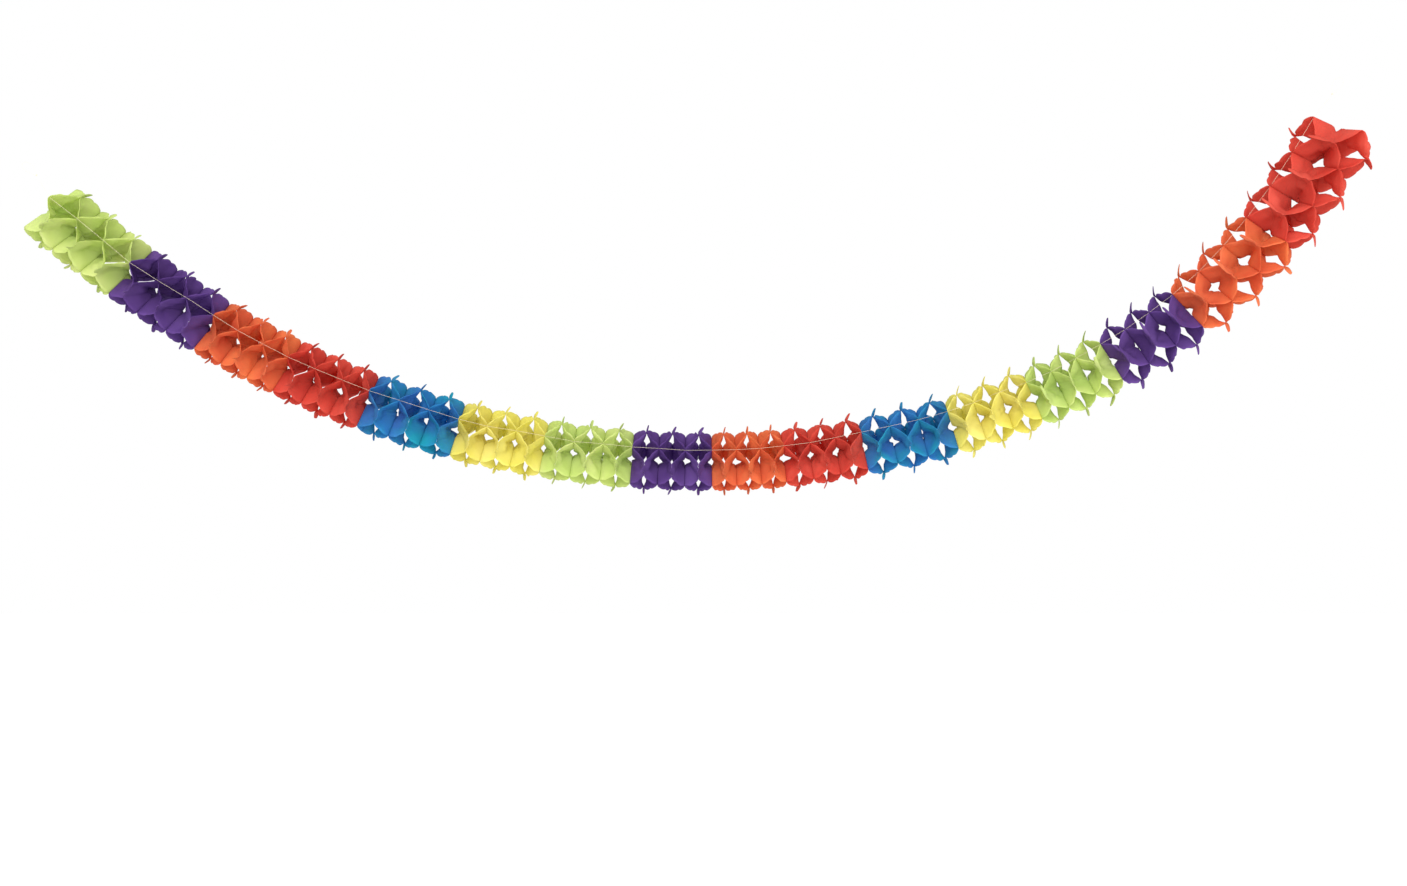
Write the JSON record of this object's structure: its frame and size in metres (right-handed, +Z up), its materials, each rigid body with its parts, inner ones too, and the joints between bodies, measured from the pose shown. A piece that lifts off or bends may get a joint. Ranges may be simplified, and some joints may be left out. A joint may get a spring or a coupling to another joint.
{
  "type": "honeycomb tissue paper garland",
  "caption": "Long hanging garland of pleated round tissue paper leaves with small tongues, in bright blocks of colour, strung on a thread with an end loop.",
  "frame": {"origin": "middle of the left hanging loop, where its hook or nail goes through", "axes": "+X along the garland from its left end to its right end, +Y to the back, +Z up"},
  "size_m": [2.6002, 0.5365, 0.7944],
  "materials": {
    "tissue_green": "matte tissue paper, lime green",
    "tissue_purple": "matte tissue paper, deep purple",
    "tissue_orange": "matte tissue paper, orange",
    "tissue_red": "matte tissue paper, red",
    "tissue_blue": "matte tissue paper, blue",
    "tissue_yellow": "matte tissue paper, yellow",
    "thread": "fine undyed thread"
  },
  "bodies": {
    "root": {"cell_01_green": "tissue_green", "cell_02_green": "tissue_green", "cell_03_green": "tissue_green", "cell_04_purple": "tissue_purple", "cell_05_purple": "tissue_purple", "cell_06_purple": "tissue_purple", "cell_07_orange": "tissue_orange", "cell_08_orange": "tissue_orange", "cell_09_orange": "tissue_orange", "cell_10_red": "tissue_red", "cell_11_red": "tissue_red", "cell_12_red": "tissue_red", "cell_13_blue": "tissue_blue", "cell_14_blue": "tissue_blue", "cell_15_blue": "tissue_blue", "cell_16_yellow": "tissue_yellow", "cell_17_yellow": "tissue_yellow", "cell_18_yellow": "tissue_yellow", "cell_19_green": "tissue_green", "cell_20_green": "tissue_green", "cell_21_green": "tissue_green", "cell_22_purple": "tissue_purple", "cell_23_purple": "tissue_purple", "cell_24_purple": "tissue_purple", "cell_25_orange": "tissue_orange", "cell_26_orange": "tissue_orange", "cell_27_orange": "tissue_orange", "cell_28_red": "tissue_red", "cell_29_red": "tissue_red", "cell_30_red": "tissue_red", "cell_31_blue": "tissue_blue", "cell_32_blue": "tissue_blue", "cell_33_blue": "tissue_blue", "cell_34_yellow": "tissue_yellow", "cell_35_yellow": "tissue_yellow", "cell_36_yellow": "tissue_yellow", "cell_37_green": "tissue_green", "cell_38_green": "tissue_green", "cell_39_green": "tissue_green", "cell_40_purple": "tissue_purple", "cell_41_purple": "tissue_purple", "cell_42_purple": "tissue_purple", "cell_43_orange": "tissue_orange", "cell_44_orange": "tissue_orange", "cell_45_orange": "tissue_orange", "cell_46_red": "tissue_red", "cell_47_red": "tissue_red", "cell_48_red": "tissue_red", "hanging_thread": "thread"}
  },
  "joints": []
}
